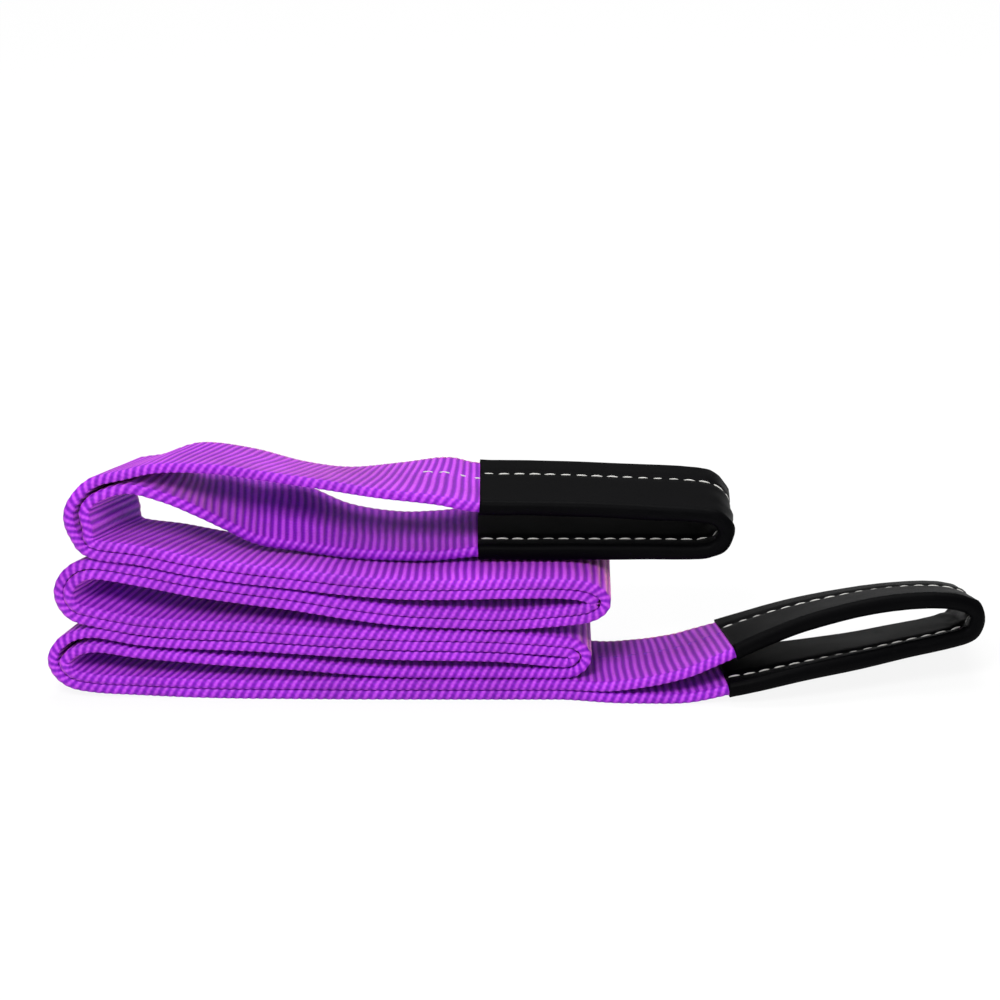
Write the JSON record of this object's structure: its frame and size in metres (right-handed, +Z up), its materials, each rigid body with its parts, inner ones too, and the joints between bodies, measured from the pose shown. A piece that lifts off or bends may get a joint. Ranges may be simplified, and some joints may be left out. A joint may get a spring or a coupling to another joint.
{
  "type": "flat web sling",
  "caption": "Folded duplex flat web lifting sling with a sleeved soft eye at each end, lying as a flat stack.",
  "frame": {"origin": "middle of the base of the folded sling's box, on the surface that it lies on", "axes": "+Z up, +X along the stack towards the eyes, +Y across the web, to the back"},
  "size_m": [0.2494, 0.0476, 0.0633],
  "materials": {
    "web": "woven polyester webbing, violet, ribbed across its width",
    "sleeve": "smooth close-woven black wear sleeve",
    "white_thread": "white polyester sewing thread",
    "purple_thread": "violet polyester sewing thread"
  },
  "bodies": {
    "root": {"bottom_eye_sleeve": "sleeve", "bottom_eye_sleeve_inner_thread": "white_thread", "bottom_eye_sleeve_outer_thread": "white_thread", "bottom_eye_web": "web", "bottom_seam_thread": "purple_thread", "fold_1_inner_ply": "web", "fold_1_outer_ply": "web", "fold_2_inner_ply": "web", "fold_2_outer_ply": "web", "fold_3_inner_ply": "web", "fold_3_outer_ply": "web", "fold_4_inner_ply": "web", "fold_4_outer_ply": "web", "fold_5_inner_ply": "web", "fold_5_outer_ply": "web", "run_1_lower_ply": "web", "run_1_upper_ply": "web", "run_2_lower_ply": "web", "run_2_upper_ply": "web", "run_3_lower_ply": "web", "run_3_upper_ply": "web", "run_4_lower_ply": "web", "run_4_upper_ply": "web", "run_5_lower_ply": "web", "run_5_upper_ply": "web", "run_6_lower_ply": "web", "run_6_upper_ply": "web", "throat_lower_ply": "web", "throat_upper_ply": "web", "top_eye_sleeve": "sleeve", "top_eye_sleeve_inner_thread": "white_thread", "top_eye_sleeve_outer_thread": "white_thread", "top_eye_web": "web", "top_seam_thread": "white_thread"}
  },
  "joints": []
}
